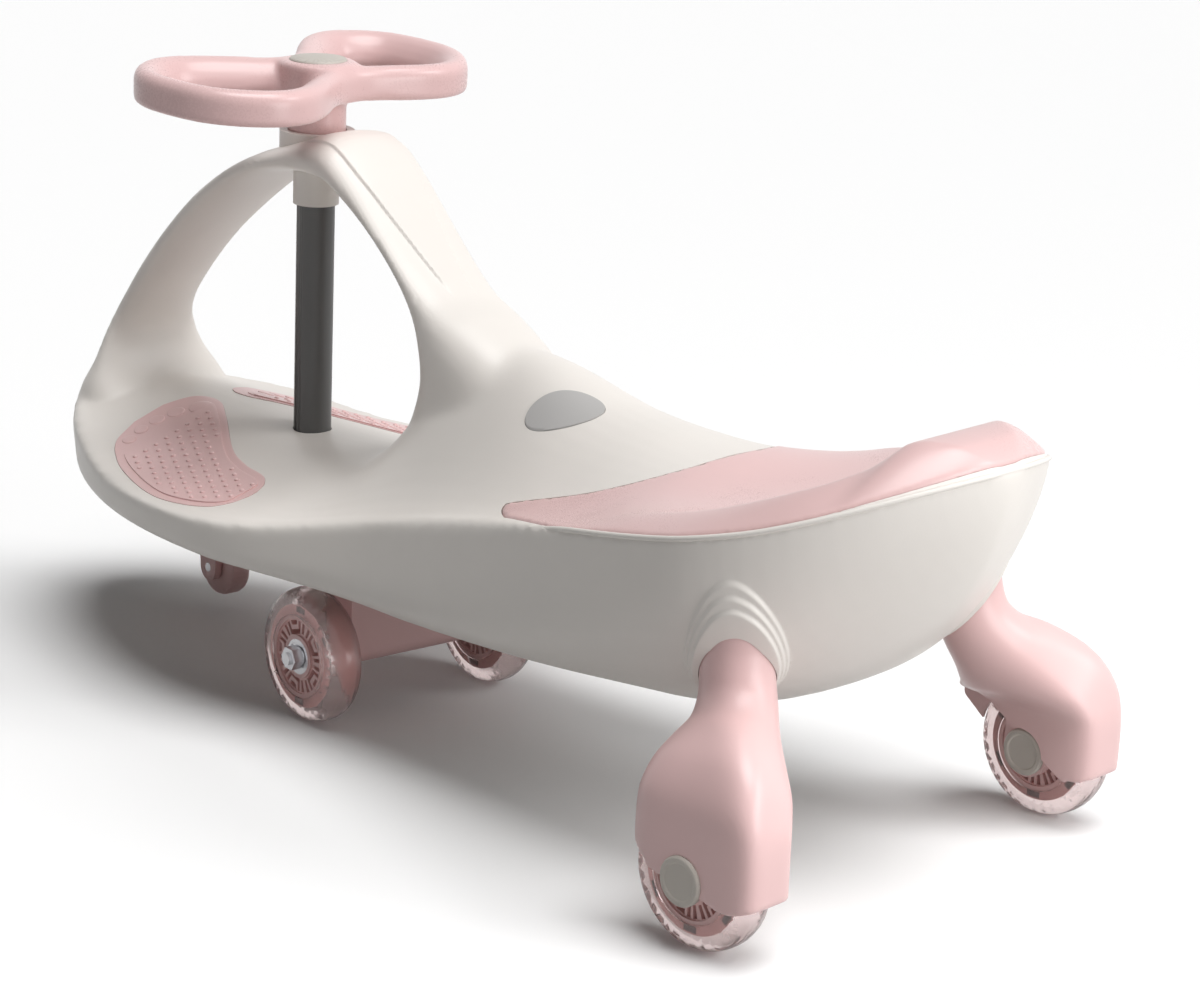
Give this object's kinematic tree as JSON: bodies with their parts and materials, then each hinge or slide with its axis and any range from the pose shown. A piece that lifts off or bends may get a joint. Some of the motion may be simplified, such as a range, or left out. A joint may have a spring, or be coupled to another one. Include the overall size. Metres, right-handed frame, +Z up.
{
  "type": "wiggle car",
  "caption": "Ride-on wiggle car with a boat-shaped seat hull, foot platform under an arch, twin-loop steering wheel on a swivelling front bracket, and fendered rear wheels on legs.",
  "frame": {"origin": "middle of the bounding box, on the floor under the tyres", "axes": "+X forward to the nose, +Y to the car's left, +Z up"},
  "size_m": [0.7532, 0.3362, 0.3911],
  "materials": {
    "cream_plastic": "fine satin mould texture",
    "pink_soft": "soft satin",
    "pink_gloss": "smooth, softly glossy",
    "pink_plastic": "smooth",
    "grey_plate": "plain satin",
    "grey_caps": "plain satin",
    "dark_tube": "dark grey satin coat",
    "zinc_steel": "zinc plated",
    "clear_tyre": "clear cast polyurethane",
    "pink_core": "smooth moulding",
    "bearing_steel": "shielded ball bearings",
    "light_module": "dark potted modules",
    "magnet": "sintered magnet"
  },
  "bodies": {
    "body": {"body_shell": "cream_plastic", "seat_pad": "pink_soft", "foot_pad_left": "pink_soft", "foot_pad_right": "pink_soft", "badge_plate": "grey_plate", "head_bush": "cream_plastic", "deck_bush": "cream_plastic", "rear_leg_left": "pink_gloss", "rear_leg_right": "pink_gloss", "leg_screws": "zinc_steel", "rear_axle_left": "zinc_steel", "rear_axle_right": "zinc_steel", "rear_axle_nuts": "zinc_steel", "rear_magnet_left": "magnet", "rear_magnet_right": "magnet", "hub_cap_outer_left": "grey_caps", "hub_cap_outer_right": "grey_caps", "hub_cap_inner_left": "grey_caps", "hub_cap_inner_right": "grey_caps"},
    "steering": {"steering_wheel": "pink_gloss", "steering_cap": "grey_caps", "steering_bolt": "zinc_steel", "steering_column": "dark_tube", "column_pin": "zinc_steel", "front_bracket": "pink_plastic", "front_axle": "zinc_steel", "front_axle_nuts": "zinc_steel", "front_magnet_left": "magnet", "front_magnet_right": "magnet", "roller_pin": "zinc_steel"},
    "roller": {"anti_tip_roller": "pink_plastic"},
    "front_wheel_left": {"front_tyre_left": "clear_tyre", "front_core_left": "pink_core", "front_bearings_left": "bearing_steel", "front_leds_left": "light_module"},
    "front_wheel_right": {"front_tyre_right": "clear_tyre", "front_core_right": "pink_core", "front_bearings_right": "bearing_steel", "front_leds_right": "light_module"},
    "rear_wheel_left": {"rear_tyre_left": "clear_tyre", "rear_core_left": "pink_core", "rear_bearings_left": "bearing_steel", "rear_leds_left": "light_module"},
    "rear_wheel_right": {"rear_tyre_right": "clear_tyre", "rear_core_right": "pink_core", "rear_bearings_right": "bearing_steel", "rear_leds_right": "light_module"}
  },
  "joints": [
    {"name": "steer", "type": "hinge", "parent": "body", "child": "steering", "pos_m": [0.176, 0, 0.2], "axis": [0, 0, 1], "continuous": true},
    {"name": "front_roll_left", "type": "hinge", "parent": "steering", "child": "front_wheel_left", "pos_m": [0.08293, 0.07893, 0.042], "axis": [0.1219, 0.9925, 0], "continuous": true},
    {"name": "front_roll_right", "type": "hinge", "parent": "steering", "child": "front_wheel_right", "pos_m": [0.0666, -0.05407, 0.042], "axis": [0.1219, 0.9925, 0], "continuous": true},
    {"name": "rear_roll_left", "type": "hinge", "parent": "body", "child": "rear_wheel_left", "pos_m": [-0.307, 0.148, 0.042], "axis": [0, 1, 0], "continuous": true},
    {"name": "rear_roll_right", "type": "hinge", "parent": "body", "child": "rear_wheel_right", "pos_m": [-0.307, -0.148, 0.042], "axis": [0, 1, 0], "continuous": true},
    {"name": "roller_roll", "type": "hinge", "parent": "steering", "child": "roller", "pos_m": [0.27526, -0.01219, 0.033], "axis": [0.1219, 0.9925, 0], "continuous": true}
  ]
}
